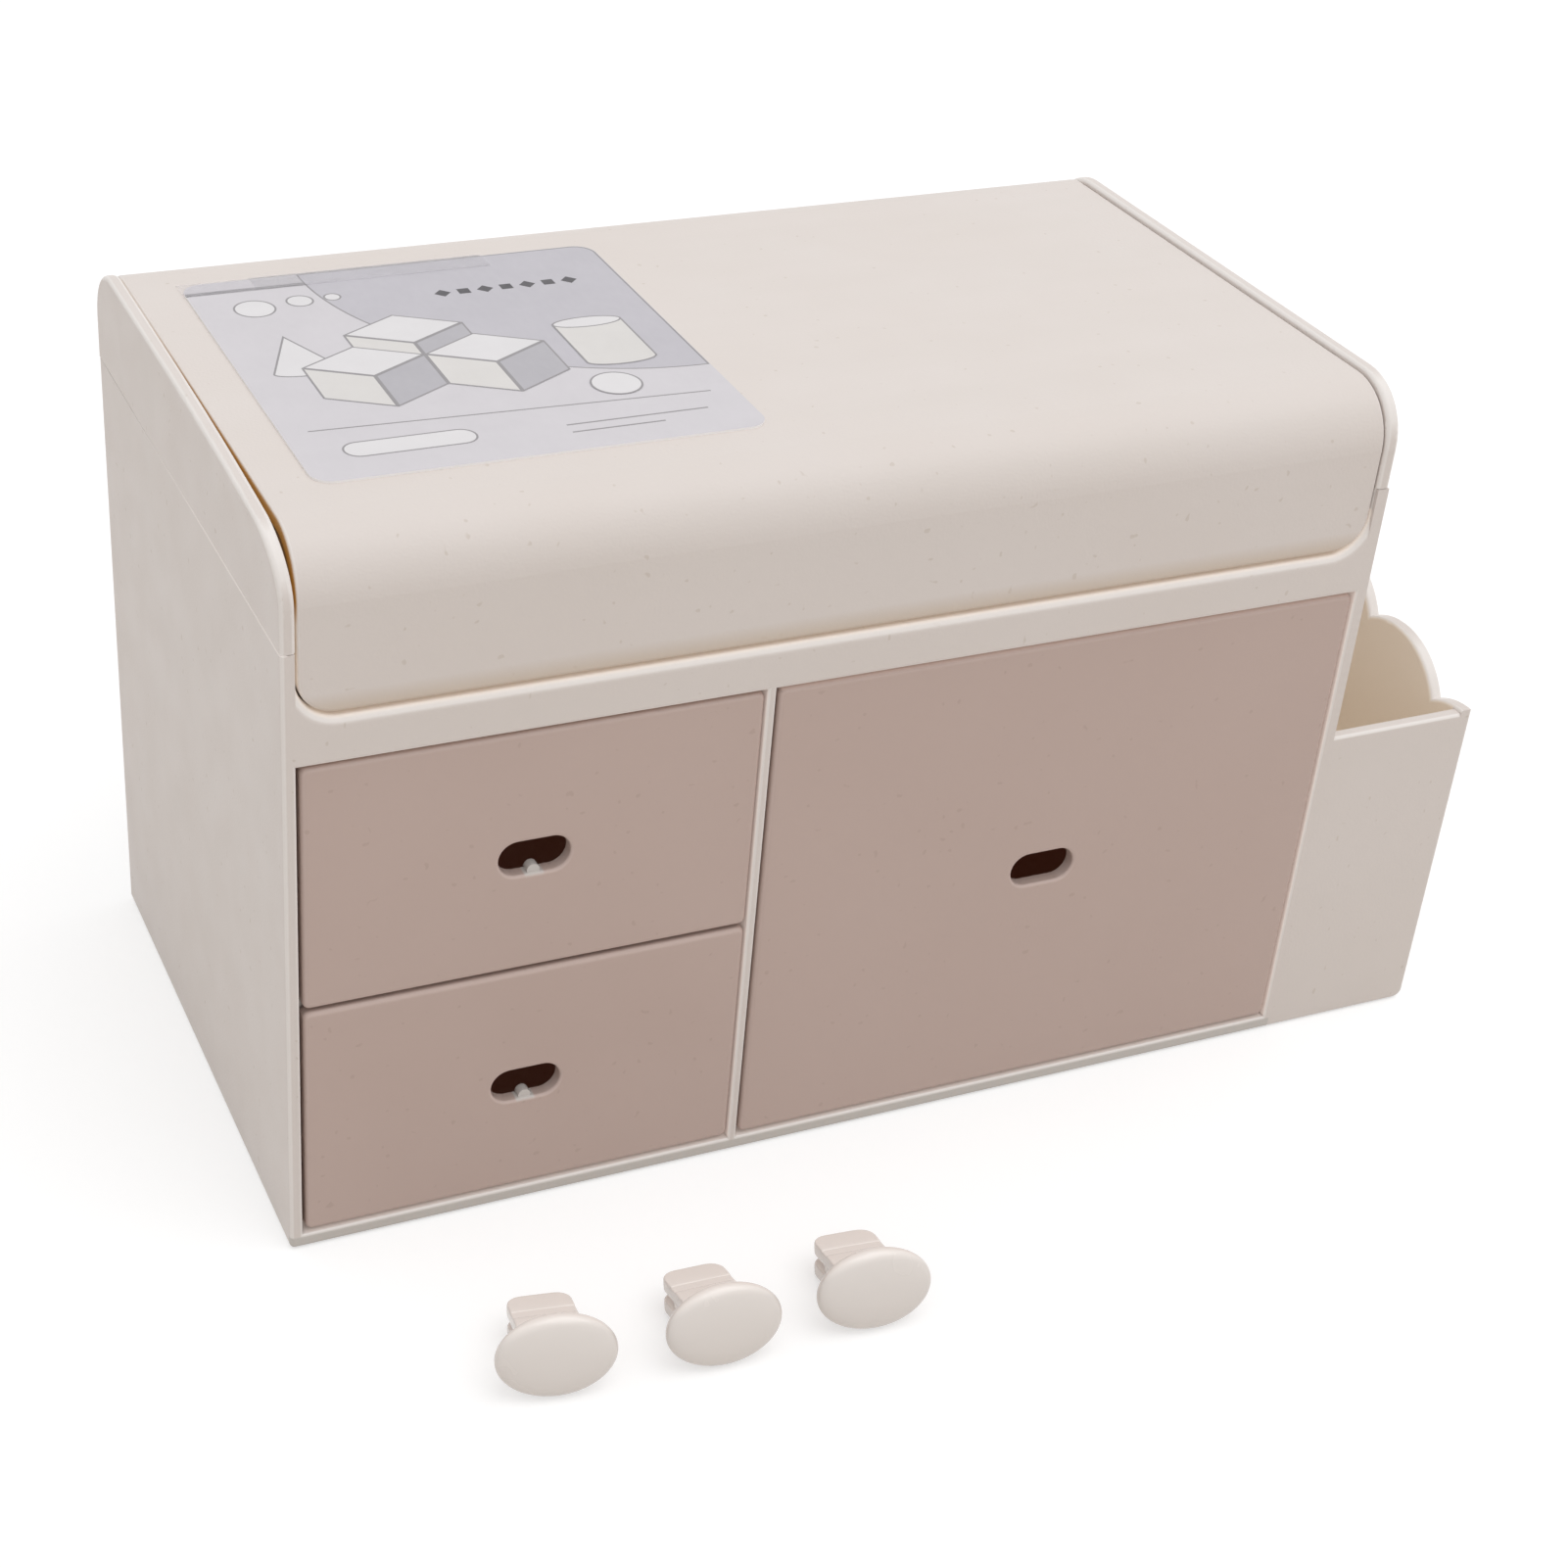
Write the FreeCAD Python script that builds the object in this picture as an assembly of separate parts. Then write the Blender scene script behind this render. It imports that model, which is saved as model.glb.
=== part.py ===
import FreeCAD, Part
import math
import os
from FreeCAD import Matrix, Vector

# Desktop box with a tray under a hinged lid, three drawers and a side pocket.
# Millimetres. X runs to the right, Y to the back and Z up.
# The origin is on the underside, in the middle of the total width and of the base depth.

# Overall sizes
total_width = 186.0
pocket_width = 25.0
base_depth = 90.5
rear_lean_out = 1.5
cheek_overhang = 1.0
total_height = 109.5
cheek_height = 15.1

# Clearances shared by all pieces
seat_gap = 0.1
hinge_gap = 0.05
overrun = 5.0
tolerance = 0.01

# Lower case
case_wall = 1.8
floor_thickness = 2.1
case_corner_round = 0.7
rim_round = 0.6
thin_rim_share = 0.4
rail_height = 6.45
rail_depth = 4.0
rail_round = 1.25
recess_height = 9.8
divider_offset = 66.3
divider_thickness = 1.3
deck_rise = 1.45
ledge_width = 4.0
ledge_thickness = 1.5

# Shelf between the two small drawers and the runners that carry it
shelf_thickness = 1.6
shelf_setback = 3.0
shelf_rear_room = 4.7
runner_width = 1.2
runner_thickness = 1.5

# Side pocket, part of the lower case, with a scalloped outer wall that climbs to the back
pocket_wall = 2.1
pocket_lip_drop = 41.0
pocket_rim_round = 0.6
pocket_corner_radius = 1.6
pocket_lean = 0.1
scallop_count = 6
scallop_radius = 12.6
scallop_front_inset = 0.4
scallop_rear_inset = 0.5
scallop_dip = 12.0
scallop_climb = 25.3

# Upper frame, two cheeks on top of the case walls and a beam behind
# The left cheek bends outward at its front top corner, past a slanting line
cheek_thickness = 2.0
cheek_front_radius = 9.0
cheek_rear_radius = 9.0
cheek_edge_round = 0.7
bend_radius = 42.0
bend_offset = 5.0
bend_deg = 15.0
skirt_thickness = 1.2
skirt_depth = 10.4
skirt_lap = 1.0
skirt_front_gap = 1.0
beam_thickness = 1.5

# Lid
lid_thickness = 1.8
lid_left_gap = 0.25
lid_right_gap = 0.15
lid_drop = 0.7
lid_inset = 0.4
lid_bottom_gap = 0.6
lid_front_radius = 8.5
lid_corner_radius = 5.0
lid_edge_round = 0.5
hinge_radius = 7.5
hinge_room = 0.4
curl_tail_deg = 45.0
ear_thickness = 1.8
peg_radius = 1.8
peg_end_wall = 0.7
peg_end_room = 0.2

# Tray under the lid, with one partition in guides
tray_wall = 1.5
tray_floor = 1.5
tray_front_gap = 0.4
tray_rear_gap = 0.6
tray_head_room = 0.46
tray_corner_radius = 2.0
rear_row_depth = 23.0
front_rib_offset = 64.0
rib_drop = 4.0
partition_offset = 98.0
partition_thickness = 1.4
partition_height = 18.0
partition_corner_radius = 3.0
guide_width = 1.2
guide_reach = 1.2

# Drawers
front_thickness = 2.0
front_inset = 0.4
front_left_gap = 0.6
front_right_gap = 0.1
front_bottom_gap = 0.35
front_top_gap = 0.55
front_between_gap = 0.6
front_corner_radius = 1.0
front_edge_round = 0.8
tub_wall = 1.4
tub_floor = 1.4
tub_side_room = 0.4
tub_end_room = 3.0
tub_corner_radius = 2.5
small_rim_room = 0.5
large_rim_drop = 7.0
slot_length = 10.2
slot_height = 5.3
slot_round = 0.5
small_slot_drop = 0.8
large_slot_drop = 0.15
nub_radius = 0.9
nub_rise = 0.2
nub_length = 1.4

# Loose knobs, each placed by the back of its head from the case's front left corner
head_half_width = 8.3
head_half_height = 5.85
head_rim = 1.9
head_dome = 1.4
head_front_round = 1.2
head_back_round = 0.5
stem_side_room = 1.2
stem_length = 11.4
stem_corner_radius = 1.8
leg_thickness = 1.5
step_gap = 0.05
step_rise = 0.3
neck_length = 2.2
step_length = 3.4
step_groove = 1.2
tip_round = 1.0
bridge_inset = 0.3
knob_left_across = 25.05
knob_left_ahead = 35.95
knob_left_turn_deg = -9.0
knob_middle_across = 48.05
knob_middle_ahead = 37.9
knob_middle_turn_deg = -2.3
knob_right_across = 70.2
knob_right_ahead = 38.25
knob_right_turn_deg = -5.0

# Printed card and the two layers of tape that hold it on the lid
card_left_offset = 9.1
card_front_margin = 6.2
card_rear_margin = 5.4
card_width = 62.0
card_thickness = 0.3
card_corner_radius = 3.0
tape_thickness = 0.1
tape_on_card = 4.1
tape_on_lid = 0.9
tape_slope = 0.4
under_tape_overhang = 0.3
over_tape_inset = 10.1
tape_right_inset = 16.9

# Places worked out from the sizes above
left = -total_width / 2
front = -base_depth / 2
pocket_right = left + total_width
case_right = pocket_right - pocket_width
seam_height = total_height - cheek_height
cheek_depth = base_depth + rear_lean_out + cheek_overhang
rear_lean = rear_lean_out / seam_height
rail_top = seam_height - recess_height
rail_bottom = rail_top - rail_height
deck_height = rail_bottom + deck_rise
inner_left = left + case_wall
inner_right = case_right - case_wall
divider_left = left + divider_offset
divider_right = divider_left + divider_thickness
lower_front_bottom = floor_thickness + front_bottom_gap
large_front_top = rail_bottom - front_top_gap
shelf_middle = (lower_front_bottom + large_front_top) / 2
shelf_top = shelf_middle + shelf_thickness / 2
shelf_bottom = shelf_top - shelf_thickness
shelf_front = front + shelf_setback
shelf_rear = front + base_depth - case_wall - shelf_rear_room
lower_front_top = shelf_middle - front_between_gap / 2
upper_front_bottom = shelf_middle + front_between_gap / 2
small_rim_drop = shelf_thickness / 2 + runner_thickness + small_rim_room - front_between_gap / 2
pocket_lip = seam_height - pocket_lip_drop
scallop_first_y = front + scallop_front_inset
scallop_first_z = pocket_lip - scallop_dip
scallop_last_y = front + base_depth - scallop_rear_inset
scallop_last_z = scallop_first_z + scallop_climb
lid_top = total_height - lid_drop
lid_bottom = rail_top + lid_bottom_gap
lid_left = left + cheek_thickness + lid_left_gap
lid_right = case_right - cheek_thickness - lid_right_gap
hinge_y = front + cheek_depth - hinge_radius
hinge_z = lid_top - hinge_radius
peg_hole_depth = cheek_thickness - peg_end_wall
skirt_left = inner_left + seat_gap
skirt_right = inner_right - seat_gap
hinge_zone = hinge_y - hinge_radius - tray_rear_gap
hinge_floor = hinge_z - hinge_radius - hinge_room
tray_left = skirt_left + skirt_thickness + seat_gap
tray_right = skirt_right - skirt_thickness - seat_gap
tray_front = front + rail_depth + tray_front_gap
row_front = hinge_zone - tray_wall - rear_row_depth
front_rib = tray_left + front_rib_offset
partition_left = tray_left + partition_offset
lid_bend_y = front + lid_inset + lid_front_radius
lid_bend_z = lid_top - lid_front_radius
bend_over_tray = math.sqrt((lid_front_radius - lid_thickness) ** 2 - (lid_bend_y - tray_front) ** 2)
tray_top = lid_bend_z + bend_over_tray - tray_head_room
step_outer_half = slot_height / 2 - step_gap
leg_outer_half = step_outer_half - step_rise
card_left = left + card_left_offset
card_front = lid_bend_y + card_front_margin
card_rear = hinge_y - card_rear_margin
tape_right = card_left + card_width - tape_right_inset


# The case's back wall leans out, so its place depends on the height
def rear_at(z):
    return front + base_depth + rear_lean * z


def box(x0, x1, y0, y1, z0, z1):
    return Part.makeBox(x1 - x0, y1 - y0, z1 - z0, Vector(x0, y0, z0))


# Each point is u, v and the radius of its corner, and place turns u and v into a point in space
def rounded_face(points, place):
    corners = []
    for i, (u, v, radius) in enumerate(points):
        corner = Vector(u, v, 0)
        before = Vector(points[i - 1][0], points[i - 1][1], 0) - corner
        after = Vector(points[(i + 1) % len(points)][0], points[(i + 1) % len(points)][1], 0) - corner
        before.normalize()
        after.normalize()
        half_angle = before.getAngle(after) / 2
        reach = radius / math.tan(half_angle)
        inward = before + after
        inward.normalize()
        middle = corner + inward * (radius / math.sin(half_angle) - radius)
        corners.append([place(p.x, p.y) for p in (corner + before * reach, middle, corner + after * reach)])
    edges = []
    for i, (start, middle, end) in enumerate(corners):
        following = corners[(i + 1) % len(corners)][0]
        if start.distanceToPoint(end) > tolerance:
            edges.append(Part.Arc(start, middle, end).toShape())
        if end.distanceToPoint(following) > tolerance:
            edges.append(Part.makeLine(end, following))
    return Part.Face(Part.Wire(edges))


def prism_along_x(points, x0, x1):
    face = rounded_face(points, lambda y, z: Vector(x0, y, z))
    return face.extrude(Vector(x1 - x0, 0, 0))


def prism_along_y(points, y0, y1):
    face = rounded_face(points, lambda x, z: Vector(x, y0, z))
    return face.extrude(Vector(0, y1 - y0, 0))


def prism_along_z(points, z0, z1):
    face = rounded_face(points, lambda x, y: Vector(x, y, z0))
    return face.extrude(Vector(0, 0, z1 - z0))


def rod_along_x(radius, x0, x1, y, z):
    return Part.makeCylinder(radius, x1 - x0, Vector(x0, y, z), Vector(1, 0, 0))


# Edges whose bounds lie inside the given limits, where None leaves a side open
def edges_within(shape, x0=None, x1=None, y0=None, y1=None, z0=None, z1=None):
    found = []
    for edge in shape.Edges:
        b = edge.BoundBox
        spans = ((b.XMin, b.XMax, x0, x1), (b.YMin, b.YMax, y0, y1), (b.ZMin, b.ZMax, z0, z1))
        above = all(low is None or least > low - tolerance for least, most, low, high in spans)
        below = all(high is None or most < high + tolerance for least, most, low, high in spans)
        if above and below:
            found.append(edge)
    return found


# Side view of the case between two heights, with the leaning back
def side_outline(front_in, rear_in, z0, z1):
    return [
        (front + front_in, z0, 0),
        (front + front_in, z1, 0),
        (rear_at(z1) - rear_in, z1, 0),
        (rear_at(z0) - rear_in, z0, 0),
    ]


def make_shell():
    outer = prism_along_x(side_outline(0, 0, 0, seam_height), left, case_right)
    corner = edges_within(outer, x1=left, y1=front)
    base = [edge for edge in edges_within(outer, z1=0) if edge.BoundBox.XMin < case_right - tolerance]
    outer = outer.makeFillet(case_corner_round, corner + base)
    cavity = side_outline(-overrun, case_wall, floor_thickness, seam_height + overrun)
    return outer.cut(prism_along_x(cavity, inner_left, inner_right))


# Rail above the drawers with the rounded recess that the lid's front drops into
def make_rail():
    rail = box(left + case_corner_round, case_right, front, front + rail_depth, rail_bottom, seam_height)
    recess_left = left + cheek_thickness
    recess_right = case_right - cheek_thickness
    recess_radius = lid_corner_radius + lid_bottom_gap
    recess = [
        (recess_left, rail_top, recess_radius),
        (recess_right, rail_top, recess_radius),
        (recess_right, seam_height + overrun, 0),
        (recess_left, seam_height + overrun, 0),
    ]
    rail = rail.cut(prism_along_y(recess, front - overrun, front + rail_depth + overrun))
    rim = edges_within(rail, x0=recess_left, x1=recess_right, y1=front, z0=rail_top)
    return rail.makeFillet(rail_round, rim)


# Wall between the small and the large drawers
def make_divider():
    rear = rear_at(0) - case_wall / 2
    return box(divider_left, divider_right, front, rear, floor_thickness / 2, deck_height)


# Ledges that the tray rests on, and runners under the shelf
def make_ledges():
    ledges = []
    ledge_bottom = deck_height - ledge_thickness
    for x0, x1 in ((inner_left, inner_left + ledge_width), (inner_right - ledge_width, inner_right)):
        ledges.append(box(x0, x1, front + rail_depth, hinge_zone, ledge_bottom, deck_height))
    runner_bottom = shelf_bottom - runner_thickness
    for x0, x1 in ((inner_left, inner_left + runner_width), (divider_left - runner_width, divider_left)):
        ledges.append(box(x0, x1, shelf_front, shelf_rear, runner_bottom, shelf_bottom))
    return ledges


# Outside of the pocket, which trims its walls
def make_pocket_envelope():
    points = [
        (case_right - case_wall / 2, 0, 0),
        (pocket_right - pocket_lean, 0, pocket_corner_radius),
        (pocket_right, pocket_lip, 0),
        (pocket_right, total_height, 0),
        (case_right - case_wall / 2, total_height, 0),
    ]
    envelope = prism_along_y(points, front, rear_at(seam_height) + overrun)
    side = side_outline(0, 0, 0, total_height)
    envelope = envelope.common(prism_along_x(side, case_right - case_wall, pocket_right + overrun))
    outer_side = pocket_right - pocket_lean - pocket_corner_radius
    front_base = edges_within(envelope, y1=front, z1=pocket_corner_radius)
    front_side = edges_within(envelope, x0=outer_side, y1=front)
    rear_base = edges_within(envelope, x1=outer_side, y0=rear_at(0), z1=0)
    return envelope.makeFillet(case_corner_round, front_base + front_side + rear_base)


# Outer wall of the pocket: a slab under a climbing row of round-edged discs
def make_scalloped_wall():
    x0 = pocket_right - pocket_wall
    slab = [
        (front, 0, 0),
        (front, scallop_first_z, 0),
        (scallop_first_y, scallop_first_z, 0),
        (scallop_last_y, scallop_last_z, 0),
        (rear_at(scallop_last_z), scallop_last_z, 0),
        (rear_at(0), 0, 0),
    ]
    discs = []
    for i in range(scallop_count):
        along = i / (scallop_count - 1)
        y = scallop_first_y + (scallop_last_y - scallop_first_y) * along
        z = scallop_first_z + scallop_climb * along
        disc = rod_along_x(scallop_radius, x0, pocket_right, y, z)
        rims = edges_within(disc, x1=x0) + edges_within(disc, x0=pocket_right)
        discs.append(disc.makeFillet(pocket_rim_round, rims))
    return prism_along_x(slab, x0, pocket_right).fuse(discs)


def make_pocket():
    x0 = case_right - case_wall / 2
    x1 = pocket_right - pocket_wall / 2
    back_top = scallop_last_z + scallop_radius - pocket_rim_round
    front_wall = [
        (front, 0, 0),
        (front, pocket_lip, pocket_rim_round),
        (front + pocket_wall, pocket_lip, pocket_rim_round),
        (front + pocket_wall, 0, 0),
    ]
    back_wall = [
        (rear_at(0) - pocket_wall, 0, 0),
        (rear_at(back_top) - pocket_wall, back_top, pocket_rim_round),
        (rear_at(back_top), back_top, pocket_rim_round),
        (rear_at(0), 0, 0),
    ]
    pocket = make_scalloped_wall().fuse([
        prism_along_x(front_wall, x0, x1),
        prism_along_x(back_wall, x0, x1),
        box(x0, x1, front, rear_at(0), 0, floor_thickness),
    ])
    return pocket.common(make_pocket_envelope())


def make_lower_case():
    pieces = [make_rail(), make_divider(), make_pocket()] + make_ledges()
    body = make_shell().fuse(pieces).removeSplitter()
    rims = edges_within(body, x0=inner_left, x1=inner_right, y1=front, z0=floor_thickness, z1=rail_bottom)
    return body.makeFillet(min(rim_round, divider_thickness * thin_rim_share), rims)


# Plate of the left cheek's thickness, flat behind a slanting line and bent outward in front of it
def make_bent_plate():
    slant = Vector(0, cheek_depth, cheek_height)
    slant.normalize()
    across = Vector(0, -slant.z, slant.y)
    start = Vector(0, front, seam_height) + across * bend_offset - slant * overrun
    bend = math.radians(bend_deg)
    outer_reach = bend_radius * math.tan(bend / 2)
    inner_reach = (bend_radius + cheek_thickness) * math.tan(bend / 2)
    end_x = -cheek_height * math.sin(bend)
    end_reach = cheek_height * math.cos(bend)
    inner = left + cheek_thickness
    outline = [
        (left, -cheek_depth, 0),
        (left, outer_reach, bend_radius),
        (left + end_x, outer_reach + end_reach, 0),
        (inner + end_x, inner_reach + end_reach, 0),
        (inner, inner_reach, bend_radius + cheek_thickness),
        (inner, -cheek_depth, 0),
    ]
    face = rounded_face(outline, lambda x, reach: start + Vector(x, 0, 0) + across * reach)
    return face.extrude(slant * (cheek_depth + cheek_height + overrun))


def make_cheek(x0, x1, bent):
    bottom = seam_height + seat_gap
    outline = [
        (front, bottom, 0),
        (front, total_height, cheek_front_radius),
        (front + cheek_depth, total_height, cheek_rear_radius),
        (front + cheek_depth, bottom, 0),
    ]
    if bent:
        cheek = prism_along_x(outline, x0 - cheek_height, x1).common(make_bent_plate())
    else:
        cheek = prism_along_x(outline, x0, x1)
    rim = [edge for edge in cheek.Edges if is_cheek_rim(edge, bottom)]
    return cheek.makeFillet(cheek_edge_round, rim)


# A rim edge follows the cheek's outline, in front, on top or behind, and doesn't cross its thickness
def is_cheek_rim(edge, bottom):
    b = edge.BoundBox
    length = math.hypot(b.YLength, b.ZLength)
    middle = edge.valueAt((edge.FirstParameter + edge.LastParameter) / 2)
    in_front = middle.y < front + cheek_front_radius - tolerance
    behind = middle.y > front + cheek_depth - cheek_rear_radius + tolerance
    on_top = middle.z > total_height - tolerance
    crosses = length < tolerance or b.XLength > length
    return (in_front or behind or on_top) and not crosses and b.ZMax > bottom + tolerance


# Skirt inside a case wall, lower at the back so that the lid can turn above it
def make_skirt(x0, x1):
    bottom = seam_height - skirt_depth
    behind = case_wall + seat_gap
    skirt_front = front + rail_depth + skirt_front_gap
    outline = [
        (skirt_front, bottom, 0),
        (rear_at(bottom) - behind, bottom, 0),
        (rear_at(hinge_floor) - behind, hinge_floor, 0),
        (hinge_zone, hinge_floor, 0),
        (hinge_zone, seam_height + skirt_lap, 0),
        (skirt_front, seam_height + skirt_lap, 0),
    ]
    return prism_along_x(outline, x0, x1)


def make_upper_frame():
    bottom = seam_height - skirt_depth
    behind = case_wall + seat_gap
    beam = [
        (rear_at(bottom) - behind - beam_thickness, bottom, 0),
        (rear_at(bottom) - behind, bottom, 0),
        (rear_at(hinge_floor) - behind, hinge_floor, 0),
        (rear_at(hinge_floor) - behind - beam_thickness, hinge_floor, 0),
    ]
    frame = make_cheek(left, left + cheek_thickness, True).fuse([
        make_cheek(case_right - cheek_thickness, case_right, False),
        make_skirt(skirt_left, skirt_left + skirt_thickness),
        make_skirt(skirt_right - skirt_thickness, skirt_right),
        prism_along_x(beam, skirt_left, skirt_right),
    ])
    for x0 in (left + peg_end_wall, case_right - cheek_thickness):
        frame = frame.cut(rod_along_x(peg_radius + hinge_gap, x0, x0 + peg_hole_depth, hinge_y, hinge_z))
    return frame.removeSplitter()


# Side view of the lid: the front apron, the flat top and the curl that turns about the pegs
def lid_outline():
    tail = math.radians(curl_tail_deg)
    tail_reach = math.tan(tail / 2)
    inner_radius = hinge_radius - lid_thickness
    apron = front + lid_inset
    apron_back = apron + lid_thickness
    under_top = lid_top - lid_thickness
    return [
        (apron, lid_bottom, 0),
        (apron, lid_top, lid_front_radius),
        (hinge_y + hinge_radius, lid_top, hinge_radius),
        (hinge_y + hinge_radius, hinge_z - hinge_radius * tail_reach, hinge_radius),
        (hinge_y + hinge_radius * math.cos(tail), hinge_z - hinge_radius * math.sin(tail), 0),
        (hinge_y + inner_radius * math.cos(tail), hinge_z - inner_radius * math.sin(tail), 0),
        (hinge_y + inner_radius, hinge_z - inner_radius * tail_reach, inner_radius),
        (hinge_y + inner_radius, under_top, inner_radius),
        (apron_back, under_top, lid_front_radius - lid_thickness),
        (apron_back, lid_bottom, 0),
    ]


# The lid's side edges that lie on its outside, not those inside its bend
def outer_side_edges(lid):
    found = []
    for edge in edges_within(lid, x1=lid_left) + edges_within(lid, x0=lid_right):
        b = edge.BoundBox
        behind_corner = b.ZLength < tolerance and b.ZMax < lid_top - tolerance
        in_front = b.YMin < front + lid_inset + tolerance
        on_curl = b.YMax > hinge_y + hinge_radius - tolerance
        if not behind_corner and (in_front or on_curl or b.ZMax > lid_top - tolerance):
            found.append(edge)
    return found


def make_lid():
    front_view = [
        (lid_left, lid_bottom, lid_corner_radius),
        (lid_right, lid_bottom, lid_corner_radius),
        (lid_right, total_height, 0),
        (lid_left, total_height, 0),
    ]
    lid = prism_along_x(lid_outline(), lid_left, lid_right)
    lid = lid.common(prism_along_y(front_view, front - overrun, front + cheek_depth + overrun))
    lower_rim = edges_within(lid, y1=front + lid_inset, z1=lid_bottom + lid_corner_radius)
    lid = lid.makeFillet(lid_edge_round, outer_side_edges(lid) + lower_rim)
    peg_left = left + peg_end_wall + peg_end_room
    peg_right = case_right - peg_end_wall - peg_end_room
    pegs = [
        rod_along_x(peg_radius, peg_left, lid_left + ear_thickness, hinge_y, hinge_z),
        rod_along_x(peg_radius, lid_right - ear_thickness, peg_right, hinge_y, hinge_z),
    ]
    ears = []
    for x0, rim in ((lid_left, lid_left), (lid_right - ear_thickness, lid_right)):
        ear = rod_along_x(hinge_radius, x0, x0 + ear_thickness, hinge_y, hinge_z)
        ears.append(ear.makeFillet(lid_edge_round, edges_within(ear, x0=rim, x1=rim)))
    return lid.fuse(pegs + ears).removeSplitter()


# Open box with rounded upright corners, front_radius at the front and back_radius at the back
def make_tub(x0, x1, y0, y1, z0, z1, wall, floor, front_radius, back_radius):
    outer = [(x0, y0, front_radius), (x1, y0, front_radius), (x1, y1, back_radius), (x0, y1, back_radius)]
    inner_front = max(front_radius - wall, wall / 2)
    inner_back = max(back_radius - wall, wall / 2)
    inner = [
        (x0 + wall, y0 + wall, inner_front),
        (x1 - wall, y0 + wall, inner_front),
        (x1 - wall, y1 - wall, inner_back),
        (x0 + wall, y1 - wall, inner_back),
    ]
    return prism_along_z(outer, z0, z1).cut(prism_along_z(inner, z0 + floor, z1 + overrun))


def make_tray():
    bottom = deck_height
    rib_top = tray_top - rib_drop
    rib_front = row_front - tray_wall
    half_wall = tray_wall / 2
    walls = [
        box(tray_left + half_wall, tray_right - half_wall, rib_front, row_front, bottom, rib_top),
        box(front_rib, front_rib + tray_wall, tray_front + half_wall, row_front, bottom, rib_top),
    ]
    guide_top = bottom + tray_floor + partition_height
    far_side = partition_left + partition_thickness + seat_gap
    for x0 in (partition_left - seat_gap - guide_width, far_side):
        for y0 in (tray_front + tray_wall, rib_front - guide_reach):
            walls.append(box(x0, x0 + guide_width, y0, y0 + guide_reach, bottom, guide_top))
    radius = tray_corner_radius
    tray = make_tub(
        tray_left, tray_right, tray_front, hinge_zone, bottom, tray_top,
        tray_wall, tray_floor, radius, radius,
    )
    return tray.fuse(walls).removeSplitter()


def make_partition():
    z0 = deck_height + tray_floor + seat_gap
    y0 = tray_front + tray_wall + seat_gap
    y1 = row_front - tray_wall - seat_gap
    outline = [
        (y0, z0, 0),
        (y0, z0 + partition_height, partition_corner_radius),
        (y1, z0 + partition_height, partition_corner_radius),
        (y1, z0, 0),
    ]
    return prism_along_x(outline, partition_left, partition_left + partition_thickness)


def make_shelf():
    x0 = inner_left + seat_gap
    return box(x0, divider_left - seat_gap, shelf_front, shelf_rear, shelf_bottom, shelf_top)


# Hole along Y with half-round ends, around a centre
def make_slot(x, z, y0, y1):
    half = slot_length / 2
    radius = slot_height / 2
    points = [
        (x - half, z - radius, radius),
        (x + half, z - radius, radius),
        (x + half, z + radius, radius),
        (x - half, z + radius, radius),
    ]
    return prism_along_y(points, y0, y1)


def make_drawer(bay_left, bay_right, z0, z1, tub_bottom, tub_top, slot_drop, with_nub):
    x0 = bay_left + front_left_gap
    x1 = bay_right - front_right_gap
    face = front + front_inset
    back = face + front_thickness
    radius = front_corner_radius
    outline = [(x0, z0, radius), (x1, z0, radius), (x1, z1, radius), (x0, z1, radius)]
    plate = prism_along_y(outline, face, back)
    plate = plate.makeFillet(front_edge_round, edges_within(plate, y1=face))
    slot_x = (x0 + x1) / 2
    slot_z = (z0 + z1) / 2 - slot_drop
    plate = plate.cut(make_slot(slot_x, slot_z, face - overrun, back + overrun))
    rim = edges_within(plate, x0=slot_x - slot_length, x1=slot_x + slot_length, y1=face)
    plate = plate.makeFillet(slot_round, rim)
    inset = tub_side_room - front_right_gap
    rear = rear_at(0) - case_wall - tub_end_room
    tub = make_tub(
        x0 + inset, x1 - inset, back - tub_wall, rear, tub_bottom, tub_top,
        tub_wall, tub_floor, 0, tub_corner_radius,
    )
    tub = tub.cut(box(x0, x1, face, back, tub_bottom - overrun, tub_top + overrun))
    drawer = plate.fuse(tub)
    if with_nub:
        inner_end = Vector(slot_x, back, slot_z - slot_height / 2 + nub_rise)
        drawer = drawer.fuse(Part.makeCylinder(nub_radius, nub_length, inner_end, Vector(0, -1, 0)))
    return drawer.removeSplitter()


def make_small_drawer(z0, z1, resting_height):
    return make_drawer(
        inner_left, divider_left, z0, z1,
        resting_height + seat_gap, z1 - small_rim_drop, small_slot_drop, True,
    )


def make_large_drawer():
    return make_drawer(
        divider_right, inner_right, lower_front_bottom, large_front_top,
        floor_thickness + seat_gap, large_front_top - large_rim_drop, large_slot_drop, False,
    )


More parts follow.
